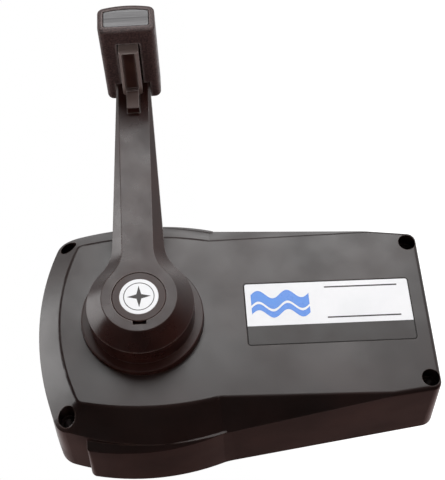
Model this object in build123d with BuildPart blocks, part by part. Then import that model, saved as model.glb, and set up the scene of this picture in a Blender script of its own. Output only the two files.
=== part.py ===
"""Side-mount engine control of a boat: one lever works shift and throttle.

Frame: millimetres, +Z up, +Y into the panel that carries the control. The origin lies on the
lever's axis, in the plane of the cover's back rim. A level is a distance from that plane towards
the driver, along -Y.
"""
import os
from math import acos, atan, ceil, cos, degrees, pi, radians, sin, sqrt, tan

from build123d import *

os.makedirs("parts", exist_ok=True)

# ------------------------------------------------------------------ cover (moulded housing)
wall = 3.0
draft = 3.0             # degrees, all side walls
tail_tip_x = -63.6      # middle of the rounded end beside the hub
tail_x = -51.6          # corner between the rounded end and the long sides
tail_half = 61.5
tail_corner = 12.0
crown_x = 3.0           # widest place, over the hub
crown_half = 72.3
shoulder_x = 45.0       # the crown arc gives way to the straight sides
shoulder_half = 67.6
shoulder_blend = 60.0
end_x = 168.5
end_half = 52.6
end_corner = 8.0
face_round = 2.5        # all round the flat face
face_level = 59.6       # over the lever's axis
face_fall = 0.05        # the face comes nearer to the panel towards the cable end
bevel = 45.0            # degrees, band round the face
bevel_depth = 20.0
face_tip_x = -47.8      # outline of the flat face, inside the bevel
face_tail_x = -36.8
face_tail_half = 49.6
face_corner = 4.0
face_crown_x = -5.0
face_crown_half = 54.0
face_waist_x = 41.0
face_waist_half = 50.1
face_flare = 0.022      # outward slope of the face's long edges
bulge_tail_x = -36.5    # hub bulges on both long sides
bulge_tail_half = 71.0
bulge_crown_x = 5.0
bulge_crown_half = 75.0
bulge_end_x = 46.0
bulge_end_half = 67.0
bulge_level = 43.0      # where the bulges' sloped top meets the wall
bulge_slope = 8.0       # height of that top, as steep as the bevel
bulge_corner = 4.0
bulge_edge = 0.8
cover_rib = 2.0         # ribs under the face
rib_level = 50.0
rib_places = (62.0, 86.0, 110.0, 134.0)

# ------------------------------------------------------------------ fixing to the panel
mount_left_x = -44.0
mount_left_half = 54.0
mount_right_x = 160.0
mount_right_half = 44.0
mount_hole_r = 3.2
mount_head_r = 5.1
mount_floor = 41.0
tower_r = 8.6

# ------------------------------------------------------------------ label
label_x = 107.8
label_width = 96.8
label_height = 39.2
label_corner = 1.5
label_thickness = 1.0
label_gap = 0.35

# ------------------------------------------------------------------ bearings and shaft
shaft_r = 8.0
shaft_flat = 6.6        # half the width across the double-D flats
shaft_bore_r = 3.2
shaft_start = 1.0
thread_r = 6.0
thread_end = 79.0
running_fit = 0.04
slip = 0.05             # radial gap of slipped-on parts
flange_r = 35.0
flange_seat = 57.4
flange_top = 63.9
flange_crown = 64.15    # the flange rises a little towards the hub
flange_edge = 0.8
bush_r = 12.0
bush_start = 42.0
bush_end = 61.0
hub_tower_r = 18.0
collar_thickness = 2.0
rear_bush_length = 4.4
washer_r = 11.8
gate_r = 20.5
gate_inner_r = 16.0
gate_rim = 68.5
gate_notch = 7.6
gate_notch_depth = 3.0

# ------------------------------------------------------------------ chassis plate
plate_start = 1.5
plate_thickness = 2.0
plate_gap = 0.5
screw_r = 1.5
screw_head_r = 2.9
screw_head = 1.4
screw_boss_r = 4.2
screw_grip = 9.0        # thread length in the bosses
screw_places = ((-2.0, 60.5), (-2.0, -60.5), (98.0, 50.5), (98.0, -50.5), (-50.0, 0.0), (157.0, -12.0))

# ------------------------------------------------------------------ gears
module = 2.0
pressure_angle = 20.0
backlash = 0.35
pinion_teeth = 16
shift_teeth = 48
throttle_teeth = 32
teeth_each_side = 6
pinion_start = 10.0
pinion_end = 28.0
sector_thickness = 6.0
shift_start = 11.0
throttle_start = 20.0
sector_hub_r = 9.5
pivot_r = 5.0
pivot_base_r = 8.0
shift_arm = 26.0
throttle_arm = 24.0
arm_end_r = 6.0
cable_pin_r = 3.0
cable_pin_reach = 3.0
clip_r = 7.6
clip_thickness = 1.0

addendum = 0.8          # tooth height over and under the pitch circle, in modules
dedendum = 1.1
flank_points = 5
rim_width = 6.0
window_margin = 14.0    # degrees of solid left beside a sector's window
window_round = 1.5
ring_start = 8.4
ring_groove = 0.8

# ------------------------------------------------------------------ detent
detent_start = 30.0
detent_thickness = 6.0
detent_r = 20.0
detent_angle = 35.0     # neutral to forward, and neutral to reverse
detent_depth = 2.2
roller_r = 4.0
roller_pin_r = 1.2
detent_gap = 0.3
leaf_thickness = 1.0
leaf_length = 36.0
leaf_ear = 0.9
ear_half = 2.0
leaf_clamped = 8.0      # stretch of the leaf held by its post
post_depth = 9.0

# ------------------------------------------------------------------ cable anchorage
anchor_x = 134.0
anchor_length = 14.0
anchor_half = 12.5
anchor_foot = 4.0
conduit_r = 4.5
throttle_line_z = -28.0
strap_screw = 9.6       # from the conduit to each screw of its strap
strap_head_r = 2.2
strap_screw_length = 7.5
strap_thickness = 3.5
outlet_r = 6.5

# ------------------------------------------------------------------ lever
lever_back = 64.4       # hub's back, just over the flange
arm_back = 71.0
arm_front = 87.3
hub_r = 30.1
hub_face_r = 21.1
lever_bevel = 45.0
lever_bevel_depth = 10.0
front_root_half = 8.8   # half-width of the arm's flat front
front_tip_half = 9.35
outer_root_half = 16.2
outer_tip_half = 10.3
root_z = 30.0
tip_z = 153.6
front_flare_r = 24.0
outer_flare_r = 20.0
lever_edge = 0.5        # round along the edges of the flat front
hub_floor = 73.0        # bottom of the button's bore
hub_web = 3.5
hub_core_r = 13.0
hub_skirt = 4.0
channel_half = 6.0
channel_front = 83.0
channel_foot = 19.5
channel_head = 143.5
rib_heights = (44.0, 84.0, 118.0)
rib_thickness = 3.0
nut_half = 8.5          # half the width across flats
nut_thickness = 5.5
key_width = 7.5
key_reach = 2.2
key_depth = 3.0

# ------------------------------------------------------------------ grip
grip_half = 16.9
grip_bottom = 149.5
grip_side_top = 167.5
grip_top = 169.9
grip_corner = 4.0
grip_near = 135.2
grip_far = 71.8
grip_wall = 3.3
grip_edge = 1.6
grip_end_round = 3.0
core_gap = 0.1
cap_gap = 0.45
cap_thickness = 4.6
cap_recess = 0.3
core_round = 1.2

# ------------------------------------------------------------------ trigger and neutral lock
trigger_half = 6.0
trigger_tip = 122.5
trigger_travel = 5.0
trigger_top_z = 151.0
trigger_lip_z = 142.6
trigger_heel_z = 139.4
trigger_heel = 93.6
trigger_hollow = 0.9    # how far the finger curve sinks under its chord
trigger_lip = 2.8       # round of the tip's lower edge
trigger_side = 2.4      # round along both sides of the finger curve
heel_run = 2.0          # height in which the heel narrows to the stem
trigger_gap = 0.2
stem_half = 3.75
stem_front = 92.4
stem_foot_z = 126.3
stem_head_z = 137.4
stem_back = 73.4
slot_gap = 0.3
pocket_gap = 0.8
rod_level = 77.0
rod_r = 2.4
rod_guide_gap = 0.15
rod_top_z = 134.0
dog_foot_z = 21.0
dog_height = 8.0
dog_half = 3.4
dog_back = 65.6
dog_front = 79.8
stop_r = 4.4
stop_z = 95.0
stop_thickness = 3.0
lock_wire_r = 0.6
lock_coil_r = 3.4
lock_turns = 6

# ------------------------------------------------------------------ centre button
button_r = 14.9
button_gap = 0.25
button_wall = 2.2
button_top = 87.2
button_crown = 3.2
button_skirt = 77.2
badge_r = 10.8
badge_gap = 0.2
badge_thickness = 0.8
plunger_r = 2.9
plunger_start = 12.0
button_wire_r = 0.5
button_coil_r = 7.4
button_turns = 3


def level(height):
    """Sketch plane parallel to the panel: local x is +X, local y is +Z."""
    return Plane.XZ.offset(height)


def export(piece, name):
    piece.part.label = name
    export_step(piece.part, f"parts/{name}.step")


# ------------------------------------------------------------------ places worked out from these
pinion_pitch_r = module * pinion_teeth / 2
shift_pitch_r = module * shift_teeth / 2
throttle_pitch_r = module * throttle_teeth / 2
mesh_angle = 1.5 * 360 / pinion_teeth       # a pinion tooth points at each sector's pivot
shift_pivot_x = (pinion_pitch_r + shift_pitch_r) * cos(radians(mesh_angle))
shift_pivot_z = (pinion_pitch_r + shift_pitch_r) * sin(radians(mesh_angle))
throttle_pivot_x = (pinion_pitch_r + throttle_pitch_r) * cos(radians(mesh_angle))
throttle_pivot_z = -(pinion_pitch_r + throttle_pitch_r) * sin(radians(mesh_angle))
shift_line_z = shift_pivot_z - shift_arm
shift_level = shift_start + sector_thickness / 2
throttle_level = throttle_start + sector_thickness / 2
cable_lines = ((shift_line_z, shift_level), (throttle_line_z, throttle_level))
plate_end = plate_start + plate_thickness

# ================================================================== cover
tilt = atan(face_fall)
face_plane = Plane(
    origin=(0, -face_level, 0), x_dir=(cos(tilt), sin(tilt), 0), z_dir=(sin(tilt), -cos(tilt), 0)
)
face_end_x = end_x + 3 * bevel_depth
face_end_half = face_waist_half + face_flare * (face_end_x - face_waist_x)
mount_places = [(x, side * half) for x, half in
                ((mount_left_x, mount_left_half), (mount_right_x, mount_right_half)) for side in (1, -1)]

with BuildSketch() as rim_outline:
    with BuildLine():
        ThreePointArc((tail_x, -tail_half), (tail_tip_x, 0), (tail_x, tail_half))
        ThreePointArc((tail_x, tail_half), (crown_x, crown_half), (shoulder_x, shoulder_half))
        Polyline((shoulder_x, shoulder_half), (end_x, end_half), (end_x, -end_half),
                 (shoulder_x, -shoulder_half))
        ThreePointArc((shoulder_x, -shoulder_half), (crown_x, -crown_half), (tail_x, -tail_half))
    make_face()
    fillet(rim_outline.vertices().group_by(Axis.X)[0], tail_corner)
    fillet(rim_outline.vertices().group_by(Axis.X)[-1], end_corner)
    fillet(rim_outline.vertices().filter_by_position(Axis.X, shoulder_x - 0.1, shoulder_x + 0.1),
           shoulder_blend)

with BuildSketch() as face_outline:
    with BuildLine():
        ThreePointArc((face_tail_x, -face_tail_half), (face_tip_x, 0), (face_tail_x, face_tail_half))
        ThreePointArc((face_tail_x, face_tail_half), (face_crown_x, face_crown_half),
                      (face_waist_x, face_waist_half))
        Polyline((face_waist_x, face_waist_half), (face_end_x, face_end_half),
                 (face_end_x, -face_end_half), (face_waist_x, -face_waist_half))
        ThreePointArc((face_waist_x, -face_waist_half), (face_crown_x, -face_crown_half),
                      (face_tail_x, -face_tail_half))
    make_face()
    fillet(face_outline.vertices().group_by(Axis.X)[0], face_corner)


def bevel_waste(inset):
    """All that lies outside the tilted face and its bevel, above the bevel's foot."""
    span = 2 * (face_end_x - tail_tip_x)
    with BuildPart() as waste:
        with BuildSketch(face_plane.offset(-bevel_depth - inset)):
            Rectangle(span, span)
        extrude(amount=bevel_depth + inset + face_level)
        with BuildSketch(face_plane.offset(-inset)):
            add(face_outline.sketch)
            if inset > 0:
                offset(amount=-inset * tan(radians(45 - bevel / 2)))
        extrude(amount=-bevel_depth, taper=-bevel, mode=Mode.SUBTRACT)
    return waste.part


def cover_form(inset):
    """The cover's outer form, moved inwards by inset on every wall."""
    waste = bevel_waste(inset)
    with BuildPart() as form:
        with BuildSketch(level(0)):
            add(rim_outline.sketch)
            if inset > 0:
                offset(amount=-inset)
        extrude(amount=face_level + face_fall * abs(tail_tip_x) + 1, taper=draft)
        add(waste, mode=Mode.SUBTRACT)
    return form.part


with BuildPart() as cavity:
    add(cover_form(wall))
    # towers of the four fixing screws run down to the panel
    with BuildSketch(level(0)):
        with Locations(*mount_places):
            Circle(tower_r)
    extrude(amount=face_level, mode=Mode.SUBTRACT)
    # bosses for the chassis screws
    with BuildSketch(level(plate_end)):
        with Locations(*screw_places):
            Circle(screw_boss_r)
    extrude(amount=face_level, mode=Mode.SUBTRACT)
    # tower of the front bearing
    with BuildSketch(level(bush_start)):
        Circle(hub_tower_r)
    extrude(amount=face_level, mode=Mode.SUBTRACT)
    # stiffening ribs under the face
    with BuildSketch(level(rib_level)):
        for rib_x in rib_places:
            with Locations((rib_x, 0)):
                Rectangle(cover_rib, 4 * crown_half)
        with Locations((end_x, 0)):
            Rectangle(2 * end_x, cover_rib)
    extrude(amount=face_level, mode=Mode.SUBTRACT)

with BuildSketch() as bulge_outline:
    with BuildLine():
        bulge_foot = face_waist_half
        Polyline((bulge_end_x, bulge_end_half), (bulge_end_x, bulge_foot), (bulge_tail_x, bulge_foot),
                 (bulge_tail_x, bulge_tail_half))
        ThreePointArc((bulge_tail_x, bulge_tail_half), (bulge_crown_x, bulge_crown_half),
                      (bulge_end_x, bulge_end_half))
    make_face()
    fillet(bulge_outline.vertices().group_by(Axis.X)[0].sort_by(Axis.Y)[-1], bulge_corner)
    mirror(about=Plane.XZ)

# what stands above the sloping top of a bulge
with BuildPart() as bulge_waste:
    with BuildSketch(level(bulge_level - bulge_slope)):
        Rectangle(4 * end_x, 4 * crown_half)
    extrude(amount=2 * bulge_slope)
    with BuildSketch(level(bulge_level - bulge_slope)):
        add(rim_outline.sketch)
        offset(amount=bulge_slope / tan(radians(bevel)) - bulge_level * tan(radians(draft)))
    extrude(amount=bulge_slope, taper=bevel, mode=Mode.SUBTRACT)

with BuildPart() as bulge:
    with BuildSketch(level(0)):
        add(bulge_outline.sketch)
    extrude(amount=bulge_level, taper=draft)
    add(bulge_waste.part, mode=Mode.SUBTRACT)
    fillet(bulge.edges().filter_by_position(Axis.Y, 2 * bulge_edge - bulge_level,
                                            bulge_slope - bulge_level), bulge_edge)


def face_edges(cover):
    """Edges of the cover's tilted flat face."""
    return cover.faces().filter_by(Axis((0, 0, 0), face_plane.z_dir)).sort_by(Axis.Y)[0].edges()


with BuildPart() as housing:
    add(cover_form(0))
    fillet(face_edges(housing), face_round)
    add(bulge.part)
    add(cavity.part, mode=Mode.SUBTRACT)
    # flat seat of the lever's flange, sunk into the tilted face
    with BuildSketch(level(flange_seat)):
        Circle(flange_r + slip)
    extrude(amount=face_level, mode=Mode.SUBTRACT)
    # bore of the front bearing
    with BuildSketch(level(bush_start)):
        Circle(bush_r)
    extrude(amount=face_level, mode=Mode.SUBTRACT)
    # recess of the label
    with BuildSketch(face_plane.offset(-label_thickness)):
        with Locations((label_x, 0)):
            RectangleRounded(label_width + 2 * label_gap, label_height + 2 * label_gap,
                             label_corner + label_gap)
    extrude(amount=label_thickness + wall, mode=Mode.SUBTRACT)
    # fixing holes, counterbored for the screw heads
    with BuildSketch(level(0)):
        with Locations(*mount_places):
            Circle(mount_hole_r)
    extrude(amount=face_level + wall, mode=Mode.SUBTRACT)
    with BuildSketch(level(mount_floor)):
        with Locations(*mount_places):
            Circle(mount_head_r)
    extrude(amount=face_level, mode=Mode.SUBTRACT)
    # pilot holes of the chassis screws
    with BuildSketch(level(plate_end)):
        with Locations(*screw_places):
            Circle(screw_r)
    extrude(amount=screw_grip, mode=Mode.SUBTRACT)
    # notches in the end wall for the two cables
    for outlet_z, outlet_level in cable_lines:
        with BuildSketch(Plane(origin=(end_x - 3 * wall, 0, 0), x_dir=(0, 0, 1), z_dir=(1, 0, 0))):
            with Locations((outlet_z, 0)):
                Rectangle(2 * outlet_r, 2 * outlet_level)
            with Locations((outlet_z, outlet_level)):
                Circle(outlet_r)
        extrude(amount=4 * wall, mode=Mode.SUBTRACT)
export(housing, "housing")

with BuildPart() as label_plate:
    with BuildSketch(face_plane.offset(-label_thickness)):
        with Locations((label_x, 0)):
            RectangleRounded(label_width, label_height, label_corner)
    extrude(amount=label_thickness)
export(label_plate, "label_plate")

# ================================================================== bearings and flange
with BuildPart() as gate_flange:
    with BuildSketch(Plane.YZ) as flange_section:
        with BuildLine():
            Polyline((-flange_seat, bush_r + slip), (-flange_seat, flange_r),
                     (-flange_top, flange_r), (-flange_crown, gate_r + wall), (-flange_crown, gate_r),
                     (-gate_rim, gate_r), (-gate_rim, gate_inner_r), (-flange_top, gate_inner_r),
                     (-flange_top, bush_r + slip), close=True)
        make_face()
        fillet(flange_section.vertices().group_by(Axis.Y)[-1].sort_by(Axis.X)[0], flange_edge)
    revolve(axis=Axis.Y)
    # neutral notch of the gate, and the two stops of the trigger's release
    for angle in (90, 90 + detent_angle, 90 - detent_angle):
        with BuildSketch(level(flange_crown)):
            with Locations(Location((0, 0, 0), (0, 0, angle))):
                with Locations((gate_r, 0)):
                    Rectangle(2 * gate_notch_depth, gate_notch)
        extrude(amount=gate_rim - flange_crown + wall, mode=Mode.SUBTRACT)
export(gate_flange, "gate_flange")

with BuildPart() as front_bush:
    with BuildSketch(level(bush_start)):
        Circle(bush_r)
    extrude(amount=bush_end - bush_start)
    with BuildSketch(level(bush_start - collar_thickness)):
        Circle(bush_r + collar_thickness)
    extrude(amount=collar_thickness)
    with BuildSketch(level(bush_start - collar_thickness)):
        Circle(shaft_r + running_fit)
    extrude(amount=bush_end, mode=Mode.SUBTRACT)
export(front_bush, "front_bush")

with BuildPart() as thrust_washer:
    with BuildSketch(level(bush_end)):
        Circle(washer_r)
        Circle(shaft_r + running_fit, mode=Mode.SUBTRACT)
    extrude(amount=lever_back - bush_end - running_fit)
export(thrust_washer, "thrust_washer")

rear_bush_r = shaft_r + collar_thickness
with BuildPart() as rear_bush:
    with BuildSketch(level(plate_start)):
        Circle(rear_bush_r)
    extrude(amount=plate_thickness)
    with BuildSketch(level(plate_end)):
        Circle(rear_bush_r + collar_thickness)
    extrude(amount=rear_bush_length)
    with BuildSketch(level(plate_start)):
        Circle(shaft_r + running_fit)
    extrude(amount=plate_thickness + rear_bush_length, mode=Mode.SUBTRACT)
export(rear_bush, "rear_bush")

# ================================================================== chassis plate and its screws
with BuildPart() as back_plate:
    # a slice of the cover's inside, so the plate's edge follows the drafted walls
    add(cover_form(wall + plate_gap))
    with BuildSketch(level(0)):
        Rectangle(4 * end_x, 4 * end_x)
    extrude(amount=plate_start, mode=Mode.SUBTRACT)
    with BuildSketch(level(plate_end)):
        Rectangle(4 * end_x, 4 * end_x)
    extrude(amount=2 * face_level, mode=Mode.SUBTRACT)
    # holes for the towers, screws, rear bearing and pivots
    with BuildSketch(level(plate_start)):
        with Locations(*mount_places):
            Circle(tower_r + plate_gap)
        with Locations(*screw_places):
            Circle(screw_r + slip)
        Circle(rear_bush_r)
        with Locations((shift_pivot_x, shift_pivot_z), (throttle_pivot_x, throttle_pivot_z)):
            Circle(pivot_r - slip)
    extrude(amount=plate_thickness, mode=Mode.SUBTRACT)
export(back_plate, "back_plate")

with BuildPart() as plate_screws:
    with BuildSketch(level(plate_start - screw_head)):
        with Locations(*screw_places):
            Circle(screw_head_r)
    extrude(amount=screw_head)
    with BuildSketch(level(plate_start)):
        with Locations(*screw_places):
            Circle(screw_r - slip)
    extrude(amount=plate_thickness + screw_grip - screw_head)
export(plate_screws, "plate_screws")

# ================================================================== shaft
def shaft_face(gap):
    """Double-D section of the shaft, widened by gap, drawn in a private sketch."""
    with BuildSketch() as section:
        Circle(shaft_r + gap)
        Rectangle(2 * (shaft_flat + gap), 3 * shaft_r, mode=Mode.INTERSECT)
    return section.sketch


detent_end = detent_start + detent_thickness
with BuildPart() as main_shaft:
    with BuildSketch(level(shaft_start)):
        Circle(shaft_r)
    extrude(amount=hub_floor - shaft_start)
    with BuildSketch(level(hub_floor)):
        Circle(thread_r)
    extrude(amount=thread_end - hub_floor)
    # double-D seats: gear and detent wheel, and the lever
    for first, last in ((pinion_start - slip, detent_end + slip), (lever_back - slip, hub_floor)):
        with BuildSketch(level(first)):
            Circle(2 * shaft_r)
            add(shaft_face(0), mode=Mode.SUBTRACT)
        extrude(amount=last - first, mode=Mode.SUBTRACT)
    # groove of the retaining ring
    with BuildSketch(level(ring_start)):
        Circle(2 * shaft_r)
        Circle(shaft_r - ring_groove, mode=Mode.SUBTRACT)
    extrude(amount=clip_thickness, mode=Mode.SUBTRACT)
    with BuildSketch(level(shaft_start)):
        Circle(shaft_bore_r)
    extrude(amount=thread_end, mode=Mode.SUBTRACT)
export(main_shaft, "main_shaft")


def clip_face(inner_r, outer_r):
    """Open ring of a retaining clip."""
    with BuildSketch() as ring:
        Circle(outer_r)
        Circle(inner_r, mode=Mode.SUBTRACT)
        with Locations((0, -outer_r)):
            Rectangle(inner_r, 2 * outer_r, mode=Mode.SUBTRACT)
    return ring.sketch


with BuildPart() as retaining_ring:
    with BuildSketch(level(ring_start)):
        add(clip_face(shaft_r - ring_groove, shaft_r + ring_groove + collar_thickness))
    extrude(amount=clip_thickness)
export(retaining_ring, "retaining_ring")

with BuildPart() as hub_nut:
    with BuildSketch(level(hub_floor)):
        RegularPolygon(nut_half, 6, major_radius=False)
        Circle(thread_r, mode=Mode.SUBTRACT)
    extrude(amount=nut_thickness)
export(hub_nut, "hub_nut")


# ================================================================== gears
def involute(angle):
    return tan(angle) - angle


def tooth_face(teeth, reach):
    """One involute tooth on local +X; reach sinks its foot into the rim."""
    pitch_r = module * teeth / 2
    base_r = pitch_r * cos(radians(pressure_angle))
    root_r = pitch_r - module * dedendum
    tip_r = pitch_r + module * addendum
    half_at_pitch = pi / (2 * teeth) - backlash / (4 * pitch_r)
    flank = []
    for step in range(flank_points):
        r = max(root_r, base_r) + (tip_r - max(root_r, base_r)) * step / (flank_points - 1)
        turn = half_at_pitch + involute(radians(pressure_angle)) - involute(acos(min(1, base_r / r)))
        flank.append((r * cos(turn), r * sin(turn)))
    foot_turn = half_at_pitch + involute(radians(pressure_angle)) \
        - involute(acos(min(1, base_r / max(root_r, base_r))))
    foot = ((root_r - reach) * cos(foot_turn), (root_r - reach) * sin(foot_turn))
    upper = [foot] + flank
    lower = [(x, -y) for x, y in reversed(upper)]
    with BuildSketch() as tooth:
        with BuildLine():
            Polyline(*upper, *lower, close=True)
        make_face()
    return tooth.sketch


with BuildPart() as drive_gear:
    with BuildSketch(level(pinion_start)):
        Circle(pinion_pitch_r - module * dedendum)
        for tooth in range(pinion_teeth):
            with Locations(Location((0, 0, 0), (0, 0, (tooth + 0.5) * 360 / pinion_teeth))):
                add(tooth_face(pinion_teeth, slip + module / 4))
        add(shaft_face(slip), mode=Mode.SUBTRACT)
    extrude(amount=pinion_end - pinion_start)
export(drive_gear, "drive_gear")


def wedge(half_angle, reach):
    """Triangle with its tip on the pivot, opening towards local +X."""
    with BuildSketch() as triangle:
        with BuildLine():
            across = reach * sin(radians(half_angle))
            along = reach * cos(radians(half_angle))
            Polyline((0, 0), (along, -across), (along, across), close=True)
        make_face()
    return triangle.sketch


def window_face(half_angle, inner_r, outer_r):
    """Lightening window between a sector's hub and its rim."""
    with BuildSketch() as window:
        Circle(outer_r)
        Circle(inner_r, mode=Mode.SUBTRACT)
        add(wedge(half_angle, 2 * outer_r), mode=Mode.INTERSECT)
        fillet(window.vertices(), window_round)
    return window.sketch


def sector(teeth, pivot_x, pivot_z, arm_length, start):
    """Toothed sector with a cable arm hanging straight down from its pivot."""
    pitch = 360 / teeth
    root_r = module * teeth / 2 - module * dedendum
    to_hub = degrees(atan(pivot_z / pivot_x)) + 180
    toward_hub = Plane(
        origin=(pivot_x, -start, pivot_z),
        x_dir=(cos(radians(to_hub)), 0, sin(radians(to_hub))), z_dir=(0, -1, 0),
    )
    half_angle = teeth_each_side * pitch
    window = window_face(half_angle - window_margin, sector_hub_r + rim_width / 2, root_r - rim_width)
    with BuildPart() as piece:
        with BuildSketch(toward_hub):
            Circle(root_r)
            add(wedge(half_angle, 3 * root_r), mode=Mode.INTERSECT)
            add(window, mode=Mode.SUBTRACT)
            for tooth in range(-teeth_each_side, teeth_each_side):
                with Locations(Location((0, 0, 0), (0, 0, (tooth + 0.5) * pitch))):
                    add(tooth_face(teeth, slip + module / 4))
            Circle(sector_hub_r)
            with Locations(Location((0, 0, 0), (0, 0, -90 - to_hub))):
                with Locations((arm_length / 2, 0)):
                    Rectangle(arm_length, 2 * arm_end_r)
                with Locations((arm_length, 0)):
                    Circle(arm_end_r)
                    Circle(cable_pin_r, mode=Mode.SUBTRACT)
            Circle(pivot_r + running_fit, mode=Mode.SUBTRACT)
        extrude(amount=sector_thickness)
    return piece


shift_sector = sector(shift_teeth, shift_pivot_x, shift_pivot_z, shift_arm, shift_start)
export(shift_sector, "shift_sector")
throttle_sector = sector(throttle_teeth, throttle_pivot_x, throttle_pivot_z, throttle_arm, throttle_start)
export(throttle_sector, "throttle_sector")


def cable_pin(pin_x, pin_z, start):
    """Headed pin in the end of a sector's arm, for the cable's fork."""
    with BuildPart() as pin:
        with BuildSketch(level(start - cable_pin_reach)):
            with Locations((pin_x, pin_z)):
                Circle(cable_pin_r)
        extrude(amount=sector_thickness + 2 * cable_pin_reach)
        with BuildSketch(level(start - cable_pin_reach)):
            with Locations((pin_x, pin_z)):
                Circle(cable_pin_r + clip_thickness)
        extrude(amount=clip_thickness)
        chamfer(pin.faces().sort_by(Axis.Y)[0].edges(), cable_pin_r / 6)
    return pin


shift_cable_pin = cable_pin(shift_pivot_x, shift_line_z, shift_start)
export(shift_cable_pin, "shift_cable_pin")
throttle_cable_pin = cable_pin(throttle_pivot_x, throttle_pivot_z - throttle_arm, throttle_start)
export(throttle_cable_pin, "throttle_cable_pin")


def pivot(pivot_x, pivot_z, start):
    """Shoulder pin riveted into the chassis plate, with a groove for its clip."""
    with BuildPart() as pin:
        with BuildSketch(level(plate_start)):
            with Locations((pivot_x, pivot_z)):
                Circle(pivot_r - slip)
        extrude(amount=plate_thickness)
        with BuildSketch(level(plate_end)):
            with Locations((pivot_x, pivot_z)):
                Circle(pivot_base_r)
        extrude(amount=start - slip - plate_end)
        with BuildSketch(level(start - slip)):
            with Locations((pivot_x, pivot_z)):
                Circle(pivot_r)
        extrude(amount=sector_thickness + 2 * slip + 2 * clip_thickness)
        with BuildSketch(level(start + sector_thickness + slip)):
            with Locations((pivot_x, pivot_z)):
                Circle(2 * pivot_r)
                Circle(pivot_r - ring_groove, mode=Mode.SUBTRACT)
        extrude(amount=clip_thickness, mode=Mode.SUBTRACT)
    return pin


shift_pivot = pivot(shift_pivot_x, shift_pivot_z, shift_start)
export(shift_pivot, "shift_pivot")
throttle_pivot = pivot(throttle_pivot_x, throttle_pivot_z, throttle_start)
export(throttle_pivot, "throttle_pivot")

with BuildPart() as sector_clips:
    for clip_x, clip_z, clip_level in (
        (shift_pivot_x, shift_pivot_z, shift_start), (throttle_pivot_x, throttle_pivot_z, throttle_start)
    ):
        with BuildSketch(level(clip_level + sector_thickness + slip)):
            with Locations((clip_x, clip_z)):
                add(clip_face(pivot_r - ring_groove, clip_r))
        extrude(amount=clip_thickness)
export(sector_clips, "sector_clips")

# ================================================================== detent
with BuildPart() as detent_wheel:
    with BuildSketch(level(detent_start)):
        Circle(detent_r)
        for notch in (180, 180 + detent_angle, 180 - detent_angle):
            with Locations(Location((0, 0, 0), (0, 0, notch))):
                with Locations((detent_r + roller_r - detent_depth, 0)):
                    Circle(roller_r, mode=Mode.SUBTRACT)
        add(shaft_face(slip), mode=Mode.SUBTRACT)
    extrude(amount=detent_thickness)
export(detent_wheel, "detent_wheel")

roller_x = -(detent_r + detent_gap + roller_r)
leaf_x = roller_x - roller_r - detent_gap       # face of the leaf towards the wheel
leaf_foot_z = -leaf_length
leaf_level = detent_start - detent_gap - leaf_ear
leaf_width = detent_thickness + 2 * (detent_gap + leaf_ear)
with BuildPart() as detent_roller:
    with BuildSketch(level(detent_start)):
        with Locations((roller_x, 0)):
            Circle(roller_r)
    extrude(amount=detent_thickness)
    with BuildSketch(level(leaf_level)):
        with Locations((roller_x, 0)):
            Circle(roller_pin_r)
    extrude(amount=leaf_width)
export(detent_roller, "detent_roller")

with BuildPart() as detent_leaf:
    with BuildSketch(level(leaf_level)):
        with Locations((leaf_x - leaf_thickness / 2, (leaf_foot_z + roller_r) / 2)):
            Rectangle(leaf_thickness, roller_r - leaf_foot_z)
    extrude(amount=leaf_width)
    # the two ears that hold the roller's pin
    for ear_level in (leaf_level, detent_end + detent_gap):
        with BuildSketch(level(ear_level)):
            with Locations(((leaf_x + roller_x) / 2, 0)):
                Rectangle(roller_x - leaf_x, 2 * ear_half)
            with Locations((roller_x, 0)):
                Circle(ear_half)
                Circle(roller_pin_r, mode=Mode.SUBTRACT)
        extrude(amount=leaf_ear)
export(detent_leaf, "detent_leaf")

with BuildPart() as detent_post:
    with BuildSketch(level(plate_end)):
        with Locations((leaf_x - leaf_thickness - post_depth / 2, leaf_foot_z + leaf_clamped / 2)):
            RectangleRounded(post_depth, leaf_clamped, leaf_thickness)
    extrude(amount=leaf_level + leaf_width - plate_end)
export(detent_post, "detent_post")

# ================================================================== cable anchorage
with BuildPart() as cable_anchor:
    with BuildSketch(level(plate_end)):
        with Locations((anchor_x, (shift_line_z + throttle_line_z) / 2)):
            Rectangle(anchor_length, shift_line_z - throttle_line_z + 2 * anchor_half)
    extrude(amount=anchor_foot)
    for line_z, line_level in cable_lines:
        with BuildSketch(level(plate_end)):
            with Locations((anchor_x, line_z)):
                Rectangle(anchor_length, 2 * anchor_half)
        extrude(amount=line_level - plate_end - slip)
    for line_z, line_level in cable_lines:
        with BuildSketch(Plane(origin=(anchor_x - anchor_length, 0, 0), x_dir=(0, 0, 1), z_dir=(1, 0, 0))):
            with Locations((line_z, line_level)):
                Circle(conduit_r)
        extrude(amount=2 * anchor_length, mode=Mode.SUBTRACT)
        with BuildSketch(level(plate_end)):
            with Locations((anchor_x, line_z - strap_screw), (anchor_x, line_z + strap_screw)):
                Circle(screw_r)
        extrude(amount=line_level, mode=Mode.SUBTRACT)
export(cable_anchor, "cable_anchor")

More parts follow.
